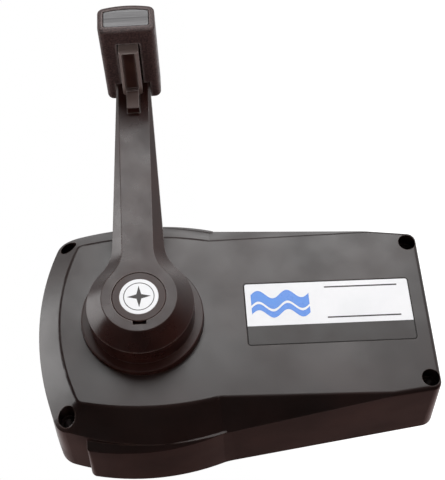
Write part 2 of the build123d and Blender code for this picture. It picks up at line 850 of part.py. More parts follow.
with BuildPart() as anchor_straps:
    for line_z, line_level in cable_lines:
        with BuildSketch(Plane(origin=(anchor_x - anchor_length / 2, 0, 0), x_dir=(0, 0, 1), z_dir=(1, 0, 0))):
            with Locations((line_z, line_level)):
                Circle(conduit_r + strap_thickness)
            with Locations((line_z, line_level + strap_thickness / 2)):
                Rectangle(2 * anchor_half, strap_thickness)
            with Locations((line_z, line_level)):
                Circle(conduit_r, mode=Mode.SUBTRACT)
            with Locations((line_z, line_level - anchor_half)):
                Rectangle(4 * anchor_half, 2 * anchor_half, mode=Mode.SUBTRACT)
        extrude(amount=anchor_length)
        with BuildSketch(level(line_level)):
            with Locations((anchor_x, line_z - strap_screw), (anchor_x, line_z + strap_screw)):
                Circle(screw_r)
        extrude(amount=2 * strap_thickness, mode=Mode.SUBTRACT)
export(anchor_straps, "anchor_straps")

with BuildPart() as anchor_screws:
    for line_z, line_level in cable_lines:
        for screw_z in (line_z - strap_screw, line_z + strap_screw):
            with BuildSketch(level(line_level + strap_thickness)):
                with Locations((anchor_x, screw_z)):
                    Circle(strap_head_r)
            extrude(amount=screw_head)
            with BuildSketch(level(line_level + strap_thickness - strap_screw_length)):
                with Locations((anchor_x, screw_z)):
                    Circle(screw_r - slip)
            extrude(amount=strap_screw_length)
export(anchor_screws, "anchor_screws")

# ================================================================== lever
lever_front = level(arm_front)


def strip_points(root_half, tip_half):
    return ((-root_half, 0), (root_half, 0), (tip_half, tip_z), (-tip_half, tip_z))


with BuildSketch() as lever_face:
    Circle(hub_face_r)
    with BuildLine():
        Polyline(*strip_points(front_root_half, front_tip_half), close=True)
    make_face()
    fillet(lever_face.vertices().sort_by(Axis.Y)[:-2], front_flare_r)

with BuildSketch() as lever_outline:
    Circle(hub_r)
    with BuildLine():
        Polyline(*strip_points(outer_root_half, outer_tip_half), close=True)
    make_face()
    fillet(lever_outline.vertices().sort_by(Axis.Y)[:-2], outer_flare_r)

with BuildPart() as lever_waste:
    with BuildSketch(level(arm_front - lever_bevel_depth)):
        Rectangle(4 * tip_z, 4 * tip_z)
    extrude(amount=2 * lever_bevel_depth)
    with BuildSketch(lever_front):
        add(lever_face.sketch)
    extrude(amount=-lever_bevel_depth, taper=-lever_bevel, mode=Mode.SUBTRACT)

with BuildSketch() as grip_section:
    with BuildLine():
        Polyline((-grip_half, grip_side_top), (-grip_half, grip_bottom), (grip_half, grip_bottom),
                 (grip_half, grip_side_top))
        ThreePointArc((grip_half, grip_side_top), (0, grip_top), (-grip_half, grip_side_top))
    make_face()


def grip_core(inset):
    """Section of what the sleeve holds, inset from the sleeve's outside."""
    with BuildSketch() as core:
        add(grip_section.sketch)
        offset(amount=-inset, kind=Kind.INTERSECTION)
        fillet(core.vertices(), core_round)
    return core.sketch


neck_half = outer_tip_half + (outer_root_half - outer_tip_half) * (tip_z - grip_bottom) / tip_z
pocket_half = trigger_half + pocket_gap
pocket_top = trigger_top_z + trigger_travel + pocket_gap
core_start = grip_far + grip_wall + core_gap
core_end = grip_near - cap_thickness
slot_half = stem_half + slot_gap
slot_foot_z = stem_foot_z - slot_gap
slot_head_z = stem_head_z + trigger_travel + slot_gap
with BuildPart() as lever_arm:
    with BuildSketch(level(arm_back)):
        add(lever_outline.sketch)
    extrude(amount=arm_front - arm_back)
    with BuildSketch(level(lever_back)):
        Circle(hub_r)
    extrude(amount=arm_front - lever_back)
    add(lever_waste.part, mode=Mode.SUBTRACT)
    front_edges = lever_arm.faces().sort_by(Axis.Y)[0].edges()
    fillet(front_edges.sort_by(Axis.Z)[:-1], lever_edge)
    # bar inside the grip
    with BuildSketch(level(core_start)):
        add(grip_core(grip_wall + core_gap))
    extrude(amount=core_end - core_start)
    # hollow underside of the hub, round its core
    with BuildSketch(level(lever_back)):
        Circle(hub_r - hub_skirt)
        Circle(hub_core_r, mode=Mode.SUBTRACT)
    extrude(amount=hub_floor - hub_web - lever_back, mode=Mode.SUBTRACT)
    # bore of the centre button, with the pry slot on its lower edge
    with BuildSketch(level(hub_floor)):
        Circle(button_r + button_gap)
    extrude(amount=arm_front - hub_floor, mode=Mode.SUBTRACT)
    with BuildSketch(lever_front):
        with Locations((0, -button_r)):
            Rectangle(key_width, 2 * key_reach)
    extrude(amount=-key_depth, mode=Mode.SUBTRACT)
    with BuildSketch(level(lever_back)):
        add(shaft_face(slip))
    extrude(amount=hub_floor - lever_back, mode=Mode.SUBTRACT)
    # open channel along the back, for the lock rod
    with BuildSketch(level(lever_back)):
        with Locations((0, (channel_foot + channel_head) / 2)):
            Rectangle(2 * channel_half, channel_head - channel_foot)
    extrude(amount=channel_front - lever_back, mode=Mode.SUBTRACT)
    # ribs across the channel, bored for the rod
    for rib_z in rib_heights:
        with BuildSketch(level(arm_back)):
            with Locations((0, rib_z)):
                Rectangle(2 * channel_half + slip, rib_thickness)
        extrude(amount=channel_front - arm_back + slip)
    with BuildSketch(Plane.XY.offset(rib_heights[0] - rib_thickness)):
        with Locations((0, -rod_level)):
            Circle(rod_r + rod_guide_gap)
    extrude(amount=rib_heights[-1] - rib_heights[0] + 2 * rib_thickness, mode=Mode.SUBTRACT)
    # slot of the trigger's stem, and the room its top moves into
    with BuildSketch(level(arm_back)):
        with Locations((0, (slot_foot_z + slot_head_z) / 2)):
            Rectangle(2 * slot_half, slot_head_z - slot_foot_z)
    extrude(amount=arm_front, mode=Mode.SUBTRACT)
    with BuildSketch(level(arm_front)):
        with Locations((0, (grip_bottom + pocket_top) / 2)):
            Rectangle(2 * pocket_half, pocket_top - grip_bottom)
    extrude(amount=trigger_tip + pocket_gap - arm_front, mode=Mode.SUBTRACT)
export(lever_arm, "lever_arm")

with BuildPart() as grip:
    with BuildSketch(level(grip_far)):
        add(grip_section.sketch)
    extrude(amount=grip_near - grip_far)
    fillet(grip.edges().filter_by(Axis.Y), grip_corner)
    fillet(grip.faces().sort_by(Axis.Y)[0].edges(), grip_edge)
    fillet(grip.faces().sort_by(Axis.Y)[-1].edges(), grip_end_round)
    with BuildSketch(level(grip_far + grip_wall)):
        add(grip_core(grip_wall))
    extrude(amount=grip_near, mode=Mode.SUBTRACT)
    # opening for the arm, and the pocket of the trigger
    with BuildSketch(level(arm_back - core_gap)):
        with Locations((0, grip_bottom)):
            Rectangle(2 * (neck_half + core_gap), 3 * grip_wall)
    extrude(amount=arm_front - arm_back + 2 * core_gap, mode=Mode.SUBTRACT)
    with BuildSketch(level(arm_front)):
        with Locations((0, grip_bottom)):
            Rectangle(2 * pocket_half, 3 * grip_wall)
    extrude(amount=trigger_tip + pocket_gap - arm_front, mode=Mode.SUBTRACT)
export(grip, "grip")

with BuildPart() as grip_cap:
    with BuildSketch(level(core_end)):
        add(grip_core(grip_wall + cap_gap))
    extrude(amount=cap_thickness - cap_recess)
export(grip_cap, "grip_cap")

# ================================================================== trigger and neutral lock
with BuildPart() as lock_trigger:
    trigger_back = arm_front + trigger_gap
    with BuildSketch(Plane.YZ.offset(-trigger_half)) as finger:
        with BuildLine():
            Polyline((-trigger_heel, trigger_heel_z), (-trigger_back, trigger_heel_z),
                     (-trigger_back, trigger_top_z), (-trigger_tip, trigger_top_z),
                     (-trigger_tip, trigger_lip_z))
            hollow_level = (trigger_tip + trigger_heel) / 2 - trigger_hollow
            hollow_z = (trigger_lip_z + trigger_heel_z) / 2 + trigger_hollow
            ThreePointArc((-trigger_tip, trigger_lip_z), (-hollow_level, hollow_z),
                          (-trigger_heel, trigger_heel_z))
        make_face()
        fillet(finger.vertices().group_by(Axis.X)[0].sort_by(Axis.Y)[0], trigger_lip)
    extrude(amount=2 * trigger_half)
    side_edges = lock_trigger.faces().filter_by(Axis.X).edges()
    fillet([edge for edge in side_edges if (edge @ 0.5).Y < -trigger_heel
            and (edge @ 0.5).Z < trigger_top_z - trigger_gap], trigger_side)
    # the heel narrows to the width of the stem
    with BuildSketch(level(trigger_back)):
        with BuildLine():
            Polyline((stem_half, trigger_heel_z), (trigger_half, trigger_heel_z),
                     (trigger_half, trigger_heel_z + heel_run), close=True)
        make_face()
        mirror(about=Plane.YZ)
    extrude(amount=trigger_tip, mode=Mode.SUBTRACT)
    with BuildSketch(level(stem_back)):
        with Locations((0, (stem_foot_z + stem_head_z) / 2)):
            Rectangle(2 * stem_half, stem_head_z - stem_foot_z)
    extrude(amount=stem_front - stem_back)
    with BuildSketch(level(trigger_back)):
        with Locations((0, (stem_foot_z + trigger_lip_z) / 2)):
            Rectangle(2 * stem_half, trigger_lip_z - stem_foot_z)
    extrude(amount=stem_front - trigger_back)
    with BuildSketch(Plane.XY.offset(stem_foot_z)):
        with Locations((0, -rod_level)):
            Circle(rod_r)
    extrude(amount=stem_head_z - stem_foot_z, mode=Mode.SUBTRACT)
export(lock_trigger, "lock_trigger")

with BuildPart() as lock_rod:
    with BuildSketch(Plane.XY.offset(dog_foot_z + rod_r)):
        with Locations((0, -rod_level)):
            Circle(rod_r)
    extrude(amount=rod_top_z - dog_foot_z - rod_r)
    with BuildSketch(Plane.XY.offset(stop_z)):
        with Locations((0, -rod_level)):
            Circle(stop_r)
    extrude(amount=stop_thickness)
export(lock_rod, "lock_rod")

with BuildPart() as lock_dog:
    with BuildSketch(level(dog_back)):
        with Locations((0, dog_foot_z + dog_height / 2)):
            Rectangle(2 * dog_half, dog_height)
    extrude(amount=dog_front - dog_back)
    fillet(lock_dog.edges().filter_by(Axis.Y), dog_half / 4)
    with BuildSketch(Plane.XY.offset(dog_foot_z + rod_r)):
        with Locations((0, -rod_level)):
            Circle(rod_r)
    extrude(amount=dog_height, mode=Mode.SUBTRACT)
export(lock_dog, "lock_dog")


def coil_spring(foot, along, length, coil_r, wire_r, turns):
    """Compression spring standing on foot; its wire has six flats, which keeps the mesh light."""
    with BuildPart() as spring:
        with BuildLine():
            wire = Helix((length - 2 * wire_r) / turns, length - 2 * wire_r, coil_r,
                         center=Vector(*foot) + Vector(*along) * wire_r, direction=along)
        with BuildSketch(Plane(origin=wire @ 0, z_dir=wire % 0)):
            RegularPolygon(wire_r, 6)
        sweep()
    return spring


lock_spring_foot = stop_z + stop_thickness
lock_spring_length = rib_heights[-1] - rib_thickness / 2 - lock_spring_foot
lock_spring = coil_spring((0, -rod_level, lock_spring_foot), (0, 0, 1), lock_spring_length,
                          lock_coil_r, lock_wire_r, lock_turns)
export(lock_spring, "lock_spring")

# ================================================================== centre button
button_ceiling = button_top - button_crown
with BuildPart() as throttle_button:
    with BuildSketch(level(button_skirt)):
        Circle(button_r)
    extrude(amount=button_top - button_skirt)
    chamfer(throttle_button.faces().sort_by(Axis.Y)[0].edges(), button_gap)
    with BuildSketch(level(button_skirt)):
        Circle(button_r - button_wall)
    extrude(amount=button_ceiling - button_skirt, mode=Mode.SUBTRACT)
    with BuildSketch(level(button_top - badge_thickness)):
        Circle(badge_r + badge_gap)
    extrude(amount=badge_thickness, mode=Mode.SUBTRACT)
export(throttle_button, "throttle_button")

with BuildPart() as button_badge:
    with BuildSketch(level(button_top - badge_thickness)):
        Circle(badge_r)
    extrude(amount=badge_thickness)
export(button_badge, "button_badge")

with BuildPart() as button_plunger:
    with BuildSketch(level(plunger_start)):
        Circle(plunger_r)
    extrude(amount=button_ceiling - plunger_start)
    chamfer(button_plunger.faces().sort_by(Axis.Y)[-1].edges(), plunger_r / 3)
export(button_plunger, "button_plunger")

nut_face = hub_floor + nut_thickness
button_spring = coil_spring((0, -nut_face, 0), (0, -1, 0), button_ceiling - nut_face,
                            button_coil_r, button_wire_r, button_turns)
export(button_spring, "button_spring")
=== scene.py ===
from math import atan, pi, radians, sin

import bmesh
import bpy
from mathutils import Matrix, Quaternion, Vector


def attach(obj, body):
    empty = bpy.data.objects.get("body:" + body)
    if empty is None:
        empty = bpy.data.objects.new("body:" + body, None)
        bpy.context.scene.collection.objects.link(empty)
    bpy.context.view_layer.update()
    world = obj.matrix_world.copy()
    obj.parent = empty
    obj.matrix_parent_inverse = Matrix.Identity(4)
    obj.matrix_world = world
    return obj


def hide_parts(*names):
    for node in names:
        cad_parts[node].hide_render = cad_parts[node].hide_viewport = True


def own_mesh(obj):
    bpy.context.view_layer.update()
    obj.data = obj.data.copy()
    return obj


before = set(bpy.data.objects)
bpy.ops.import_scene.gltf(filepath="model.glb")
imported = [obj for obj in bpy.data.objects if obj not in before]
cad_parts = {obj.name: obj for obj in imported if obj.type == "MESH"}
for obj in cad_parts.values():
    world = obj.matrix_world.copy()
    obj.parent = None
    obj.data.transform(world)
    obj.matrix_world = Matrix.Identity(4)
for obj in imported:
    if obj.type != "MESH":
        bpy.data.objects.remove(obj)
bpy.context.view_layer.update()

# ---------------------------------------------------------------- cover
# Deep cover injection-moulded in black glass-filled nylon, screwed to the panel through its four
# towers. The mould was lightly spark-eroded, so the flat faces have a fine even grain that
# scatters the light into a soft grey sheen; the resin itself is a warm, nearly black brown.
mm = 0.001                          # in metres
noise_low, noise_high = 0.35, 0.65  # nearly all of a Noise Texture lies between these


def colour(code):
    """Linear colour of an sRGB hex value."""
    parts = [int(code[i:i + 2], 16) / 255 for i in (1, 3, 5)]
    return [c / 12.92 if c <= 0.04045 else ((c + 0.055) / 1.055) ** 2.4 for c in parts] + [1.0]


def node(material, kind, settings=None, links=None):
    """Add a node, set its sockets or properties, and link sockets of earlier nodes into it."""
    made = material.node_tree.nodes.new(kind)
    for name, value in (settings or {}).items():
        if isinstance(name, int) or name in made.inputs:
            made.inputs[name].default_value = value
        else:
            setattr(made, name, value)
    for name, source in (links or {}).items():
        material.node_tree.links.new(source, made.inputs[name])
    return made


def new_material(name, **settings):
    """A material, its Principled shader with constant values set on it, and Object coordinates."""
    material = bpy.data.materials.new(name)
    material.use_nodes = True
    shader = material.node_tree.nodes["Principled BSDF"]
    for socket, value in settings.items():
        shader.inputs[socket.replace("_", " ")].default_value = value
    place = node(material, "ShaderNodeTexCoord").outputs["Object"]
    return material, shader, place


def mottle(material, shader, place, low, high, size, detail=3.0):
    """Slow change of colour between two shades, over patches of the given size."""
    cloud = node(material, "ShaderNodeTexNoise", {"Scale": 1 / size, "Detail": detail},
                 {"Vector": place})
    ramp = node(material, "ShaderNodeValToRGB", links={"Fac": cloud.outputs["Fac"]})
    darker, lighter = ramp.color_ramp.elements
    darker.position, darker.color = noise_low, colour(low)
    lighter.position, lighter.color = noise_high, colour(high)
    material.node_tree.links.new(ramp.outputs["Color"], shader.inputs["Base Color"])


def grain(material, shader, place, size, depth, roughness, patch, edge=0.3 * mm):
    """Bumps of a size and depth, rounded edges, and roughness that drifts from patch to patch."""
    rounded = node(material, "ShaderNodeBevel", {"samples": 4, "Radius": edge})
    bumps = node(material, "ShaderNodeTexNoise", {"Scale": 1 / size, "Detail": 2.0},
                 {"Vector": place})
    relief = node(material, "ShaderNodeBump", {"Distance": depth, "Strength": 1.0},
                  {"Height": bumps.outputs["Fac"], "Normal": rounded.outputs["Normal"]})
    material.node_tree.links.new(relief.outputs["Normal"], shader.inputs["Normal"])
    drift = node(material, "ShaderNodeTexNoise", {"Scale": 1 / patch, "Detail": 4.0},
                 {"Vector": place})
    rough = node(material, "ShaderNodeMapRange",
                 {"From Min": noise_low, "From Max": noise_high,
                  "To Min": roughness[0], "To Max": roughness[1]}, {"Value": drift.outputs["Fac"]})
    material.node_tree.links.new(rough.outputs["Result"], shader.inputs["Roughness"])


def wear_and_edge_highlight(material, shader, place, worn_and_lit, reach, patch):
    """Paler colour near the edges, uneven over each patch: rubbed wear and painted highlight."""
    near_edge = node(material, "ShaderNodeBevel", {"samples": 4, "Radius": reach})
    flat = node(material, "ShaderNodeNewGeometry")
    turn = node(material, "ShaderNodeVectorMath", {"operation": "DOT_PRODUCT"},
                {0: near_edge.outputs["Normal"], 1: flat.outputs["Normal"]})
    # cosine of the angle by which the rounded normal leans from the flat one
    edge = node(material, "ShaderNodeMapRange", {"From Min": 0.98, "From Max": 0.80},
                {"Value": turn.outputs["Value"]})
    uneven = node(material, "ShaderNodeTexNoise", {"Scale": 1 / patch, "Detail": 5.0},
                  {"Vector": place})
    share = node(material, "ShaderNodeMath", {"operation": "MULTIPLY"},
                 {0: edge.outputs["Result"], 1: uneven.outputs["Fac"]})
    # the edges are painted paler: partly rubbed wear, partly a painted highlight
    plain_colour = shader.inputs["Base Color"].links[0].from_socket
    mixed = node(material, "ShaderNodeMix", {"data_type": "RGBA", 7: colour(worn_and_lit)},
                 {0: share.outputs[0], 6: plain_colour})
    material.node_tree.links.new(mixed.outputs[2], shader.inputs["Base Color"])


def dress(material, *names):
    """Give CAD nodes this material."""
    for name in names:
        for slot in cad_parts[name].material_slots:
            slot.material = material


# spark-eroded grain is about 0.1 mm across, and is drawn at 0.5 mm, the finest that shows
cover_nylon, shader, place = new_material("moulded_nylon_cover", IOR=1.6)
mottle(cover_nylon, shader, place, low="#1a0a07", high="#24100c", size=45 * mm)
grain(cover_nylon, shader, place, size=0.5 * mm, depth=0.010 * mm, roughness=(0.31, 0.43),
      patch=35 * mm, edge=0.5 * mm)
# the cover's edges are painted paler: partly rubbed wear, partly painted highlight
wear_and_edge_highlight(cover_nylon, shader, place, worn_and_lit="#5e4c46", reach=1.0 * mm, patch=20 * mm)
dress(cover_nylon, "housing")

# ---------------------------------------------------------------- flange and centre button
# Round parts moulded in unfilled black acetal, which takes a deeper, smoother polish than the
# cover. The flange seats in the cover's face; the button slides in the lever's hub.

# a polished mould leaves only faint flow marks, under 0.2 mm across, drawn coarser at 0.5 mm
acetal, shader, place = new_material("moulded_acetal", IOR=1.48)
mottle(acetal, shader, place, low="#27100c", high="#321813", size=20 * mm)
grain(acetal, shader, place, size=0.5 * mm, depth=0.006 * mm, roughness=(0.34, 0.42),
      patch=20 * mm, edge=0.4 * mm)
# a pale line round the edges, the flange's rim among them: partly rubbed wear, partly painted
# highlight
wear_and_edge_highlight(acetal, shader, place, worn_and_lit="#8a736b", reach=0.7 * mm, patch=10 * mm)
dress(acetal, "gate_flange", "throttle_button")

# ---------------------------------------------------------------- lever
# Pressure die-cast alloy lever under a satin black powder coat, with crisp facets running from
# the hub to the grip. It is clamped on the shaft by the nut under the button.

# orange-peel of the coat, about a millimetre across, breaks up the highlights a little; hands
# have polished it in patches; the paler line along the edges is worn coat and painted highlight
powder_coat, shader, place = new_material("powder_coated_casting", IOR=1.5)
mottle(powder_coat, shader, place, low="#210c09", high="#2c1511", size=25 * mm)
grain(powder_coat, shader, place, size=0.9 * mm, depth=0.012 * mm, roughness=(0.24, 0.38),
      patch=18 * mm, edge=0.5 * mm)
wear_and_edge_highlight(powder_coat, shader, place, worn_and_lit="#9c8d88", reach=0.9 * mm, patch=12 * mm)
dress(powder_coat, "lever_arm")

# ---------------------------------------------------------------- grip
# Soft sleeve of moulded thermoplastic rubber pushed over the lever's bar, with rounded edges;
# its hard end cap of drawn-grain ABS closes the near end.

# dull skin with pits of about 0.3 mm, drawn at 0.8 mm to show as a pale speckle
rubber, shader, place = new_material("soft_rubber_sleeve", IOR=1.5)
mottle(rubber, shader, place, low="#231110", high="#4c3533", size=1.1 * mm, detail=2.0)
grain(rubber, shader, place, size=0.8 * mm, depth=0.07 * mm, roughness=(0.46, 0.60),
      patch=4 * mm, edge=1.2 * mm)
# the broad pale rim on the rounded edges: a painted sheen, partly rubbed wear
wear_and_edge_highlight(rubber, shader, place, worn_and_lit="#b3a5a3", reach=2.6 * mm, patch=4 * mm)
dress(rubber, "grip")

# drawn grain is a set of fine lines from side to side, greyer than the black parts; the real
# lines are about 0.1 mm wide, and are drawn about a millimetre wide
line_stretch = 0.03         # lines are about 33 times as long as they are wide
cap_abs, shader, place = new_material("brushed_abs_cap", IOR=1.54)
lines = node(cap_abs, "ShaderNodeMapping", {"Scale": (line_stretch, 1, 1)},
             {"Vector": place}).outputs["Vector"]
mottle(cap_abs, shader, lines, low="#403e40", high="#666567", size=1.2 * mm, detail=4.0)
grain(cap_abs, shader, lines, size=0.8 * mm, depth=0.01 * mm, roughness=(0.30, 0.42),
      patch=4 * mm)
dress(cap_abs, "grip_cap")

# ---------------------------------------------------------------- trigger and lock
# Trigger moulded in the same nylon as the cover but ungrained: a bar under the grip, dished for
# the fingers between two chamfered rails, on a stem that slides in the arm's slot. It lifts the
# lock's steel rod and dog, which are hidden in the arm.
finger_half = 6.0 * mm      # half of the bar's width
finger_top = 151.0 * mm     # heights over the lever's axis
finger_lip = 142.6 * mm
finger_foot = 139.4 * mm
finger_tip = 122.5 * mm     # levels in front of the panel
finger_heel = 93.6 * mm
arm_level = 87.5 * mm
rail = 1.9 * mm
dish = 1.3 * mm
heel_out, heel_down = 0.66, 0.75    # which way the cuts beside the heel face
stem_half = 3.75 * mm
stem_level = 92.4 * mm
stem_foot = 126.3 * mm
slide_level = 73.4 * mm
slide_top = 137.4 * mm
soft_edge = 0.35 * mm
crisp_angle = 0.4           # radians, past which an edge is rounded


def block(bm, half, near, far, low, high):
    """Box of half the given width, between two levels and two heights."""
    box = bmesh.ops.create_cube(bm, size=1)["verts"]
    bmesh.ops.scale(bm, verts=box, vec=(2 * half, near - far, high - low))
    bmesh.ops.translate(bm, verts=box, vec=(0, -(near + far) / 2, (low + high) / 2))


bm = bmesh.new()
block(bm, finger_half, finger_tip, arm_level, finger_foot, finger_top)
bmesh.ops.bisect_plane(bm, geom=bm.verts[:] + bm.edges[:] + bm.faces[:],
                       plane_co=(0, -finger_heel, 0), plane_no=(0, 1, 0))

# the underside rises from the heel to the tip
for corner in bm.verts:
    if corner.co.y < -finger_tip + soft_edge and corner.co.z < finger_lip:
        corner.co.z = finger_lip
bm.normal_update()

# its two long edges are chamfered into rails, and what lies between them is dished
rail_edges = [e for e in bm.edges
              if abs(e.verts[0].co.x - e.verts[1].co.x) < soft_edge
              and max(v.co.z for v in e.verts) < finger_lip + soft_edge
              and max(v.co.y for v in e.verts) < soft_edge - finger_heel]
bmesh.ops.bevel(bm, geom=rail_edges, offset=rail, affect="EDGES", segments=1, profile=0.5,
                material=-1)
bm.normal_update()
underside = min(bm.faces,
                key=lambda f: f.normal.z if f.calc_center_median().y < -finger_heel else 0)
bmesh.ops.inset_region(bm, faces=[underside], thickness=soft_edge, depth=-dish,
                       use_even_offset=True)

# the heel narrows to the stem
for side in (-1, 1):
    cut = bmesh.ops.bisect_plane(bm, geom=bm.verts[:] + bm.edges[:] + bm.faces[:],
                                 plane_co=(side * stem_half, 0, finger_foot),
                                 plane_no=(side * heel_out, 0, -heel_down),
                                 clear_outer=True)["geom_cut"]
    bmesh.ops.holes_fill(bm, edges=[e for e in cut if isinstance(e, bmesh.types.BMEdge)],
                         sides=0)
block(bm, stem_half, stem_level, arm_level, stem_foot, finger_lip)
block(bm, stem_half, arm_level, slide_level, stem_foot, slide_top)
bmesh.ops.recalc_face_normals(bm, faces=bm.faces)
crisp = [e for e in bm.edges if len(e.link_faces) == 2 and e.calc_face_angle() > crisp_angle]
bmesh.ops.bevel(bm, geom=crisp, offset=soft_edge, affect="EDGES", segments=2, profile=0.5,
                material=-1, clamp_overlap=True)
trigger_mesh = bpy.data.meshes.new("finger_trigger")
bm.to_mesh(trigger_mesh)
bm.free()
trigger = bpy.data.objects.new("finger_trigger", trigger_mesh)
bpy.context.scene.collection.objects.link(trigger)
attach(trigger, "trigger")
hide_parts("lock_trigger")

# moulded smooth, with faint sink marks of about a millimetre that soften the highlights
trigger_nylon, shader, place = new_material("ungrained_nylon_trigger", IOR=1.56)
mottle(trigger_nylon, shader, place, low="#260f0b", high="#34180f", size=10 * mm)
grain(trigger_nylon, shader, place, size=0.8 * mm, depth=0.006 * mm, roughness=(0.32, 0.44),
      patch=10 * mm, edge=0.4 * mm)

# painted light: the rails, the lip and the stem are painted paler where light falls on them;
# the stem's foot, which faces down into shade, stays dark
at_x, at_y, at_z = node(trigger_nylon, "ShaderNodeSeparateXYZ", links={"Vector": place}).outputs
from_middle = node(trigger_nylon, "ShaderNodeMath", {"operation": "ABSOLUTE"}, {0: at_x})
on_rails = node(trigger_nylon, "ShaderNodeMapRange",
                {"From Min": finger_half - 2 * rail, "From Max": finger_half - rail / 2,
                 "To Max": 0.55}, {"Value": from_middle.outputs[0]})
on_lip = node(trigger_nylon, "ShaderNodeMapRange",
              {"From Min": rail - finger_tip, "From Max": soft_edge - finger_tip},
              {"Value": at_y})
on_stem = node(trigger_nylon, "ShaderNodeMapRange",
               {"From Min": finger_foot, "From Max": finger_foot - rail, "To Max": 0.7},
               {"Value": at_z})
above_foot = node(trigger_nylon, "ShaderNodeMapRange",
                  {"From Min": stem_foot, "From Max": stem_foot + 2 * soft_edge},
                  {"Value": at_z})
on_bar = node(trigger_nylon, "ShaderNodeMath", {"operation": "MAXIMUM"},
              {0: on_rails.outputs["Result"], 1: on_lip.outputs["Result"]})
on_any = node(trigger_nylon, "ShaderNodeMath", {"operation": "MAXIMUM"},
              {0: on_bar.outputs[0], 1: on_stem.outputs["Result"]})
painted_light_share = node(trigger_nylon, "ShaderNodeMath", {"operation": "MULTIPLY"},
              {0: on_any.outputs[0], 1: above_foot.outputs["Result"]})
plain_colour = shader.inputs["Base Color"].links[0].from_socket
# paler colour painted where the trigger is lit
pale = node(trigger_nylon, "ShaderNodeMix", {"data_type": "RGBA", 7: colour("#675955")},
            {0: painted_light_share.outputs[0], 6: plain_colour})
trigger_nylon.node_tree.links.new(pale.outputs[2], shader.inputs["Base Color"])
# a thin paler line along every edge: partly rubbed wear, partly painted highlight
wear_and_edge_highlight(trigger_nylon, shader, place, worn_and_lit="#a89c98", reach=0.7 * mm, patch=6 * mm)
dress(trigger_nylon, "lock_trigger")
trigger_mesh.materials.append(trigger_nylon)

# ---------------------------------------------------------------- label and badge
# Anodised aluminium sheet glued to the tilted face, screen-printed in enamel inks that stand a
# few hundredths of a millimetre proud: a white field, a charcoal foot, thin rules and a blue
# wave. The button's badge is a disc of the same sheet with a ring and a four-pointed star.
face_level = 59.6 * mm      # over the lever's axis
face_fall = 0.05            # the cover's face comes nearer to the panel towards the cable end
label_x = 107.8 * mm
label_width = 96.8 * mm
label_height = 39.2 * mm
label_corner = 1.5 * mm
corner_steps = 6
foot_height = 11.8 * mm
shadow_band = 0.45 * mm
shadow_band_lap = 0.2 * mm         # of the band over the sheet
ink = 0.03 * mm
rule = 0.9 * mm
rule_length = 43.0 * mm
rule_gap = 3.4 * mm         # from a rule to the edge of the field
wave_length = 17.0 * mm
wave_rise = 2.6 * mm
wave_steps = 48
low_ribbon = (4.0 * mm, -4.2 * mm)      # width, and height over the middle of the field
high_ribbon = (7.0 * mm, 2.9 * mm)

# etched and anodised sheet, printed all over in white: bright and satin, with a grain far below
# a millimetre that is drawn at 0.5 mm
sheet, shader, place = new_material("anodised_sheet", IOR=1.5)
mottle(sheet, shader, place, low="#eeeff2", high="#f6f6f9", size=20 * mm)
grain(sheet, shader, place, size=0.5 * mm, depth=0.003 * mm, roughness=(0.28, 0.36),
      patch=10 * mm)
dress(sheet, "label_plate", "button_badge")

# stoved enamel lies flat, so it is a little glossy; the screen's threads, about 0.1 mm apart,
# leave marks that are drawn at 0.4 mm in both inks
charcoal_ink, shader, place = new_material("charcoal_enamel_ink", IOR=1.5)
mottle(charcoal_ink, shader, place, low="#2a2524", high="#332d2c", size=10 * mm)
grain(charcoal_ink, shader, place, size=0.4 * mm, depth=0.004 * mm, roughness=(0.38, 0.46),
      patch=10 * mm)

blue_ink, shader, place = new_material("blue_enamel_ink", IOR=1.5)
mottle(blue_ink, shader, place, low="#4486e4", high="#4f91ea", size=10 * mm)
grain(blue_ink, shader, place, size=0.4 * mm, depth=0.004 * mm, roughness=(0.25, 0.35),
      patch=10 * mm)

# painted shadow: a dull, black, slightly lumpy band standing for the shade in the gap round the
# sheet
gap_shadow_paint, shader, place = new_material("painted_gap_shadow", IOR=1.46)
mottle(gap_shadow_paint, shader, place, low="#0d0807", high="#150e0c", size=4 * mm)
grain(gap_shadow_paint, shader, place, size=0.6 * mm, depth=0.02 * mm, roughness=(0.55, 0.70),
      patch=4 * mm)


def ink_panel(bm, width, height, middle):
    """Flat rectangle of ink round middle, in the sheet's plane."""
    panel = bmesh.ops.create_grid(bm, x_segments=1, y_segments=1, size=0.5)["verts"]
    bmesh.ops.scale(bm, verts=panel, vec=(width, height, 1))
    bmesh.ops.translate(bm, verts=panel, vec=(*middle, 0))


def print_ink(name, bm, material, body, sheet_place, sunk=0.0):
    """Give flat outlines the ink's thickness and lay them on the sheet, or sunk into it."""
    bmesh.ops.translate(bm, verts=bm.verts, vec=(0, 0, -sunk))
    skin = bmesh.ops.extrude_face_region(bm, geom=bm.faces[:])["geom"]
    bmesh.ops.translate(bm, verts=[v for v in skin if isinstance(v, bmesh.types.BMVert)],
                        vec=(0, 0, ink + sunk))
    bmesh.ops.recalc_face_normals(bm, faces=bm.faces)
    bmesh.ops.transform(bm, matrix=sheet_place, verts=bm.verts)
    mesh = bpy.data.meshes.new(name)
    bm.to_mesh(mesh)
    bm.free()
    mesh.materials.append(material)
    print_layer = bpy.data.objects.new(name, mesh)
    bpy.context.scene.collection.objects.link(print_layer)
    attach(print_layer, body)


stands_upright = Matrix.Rotation(radians(90), 4, "X")
label_place = Matrix.Translation((label_x, face_fall * label_x - face_level, 0)) \
    @ Matrix.Rotation(atan(face_fall), 4, "Z") @ stands_upright
foot_top = foot_height - label_height / 2

bm = bmesh.new()
ink_panel(bm, label_width, foot_height, (0, (foot_height - label_height) / 2))
low_corners = [v for v in bm.verts if v.co.y < -foot_height]
bmesh.ops.bevel(bm, geom=low_corners, offset=label_corner, affect="VERTICES",
                segments=corner_steps, profile=0.5, material=-1)
print_ink("label_foot", bm, charcoal_ink, "base", label_place)

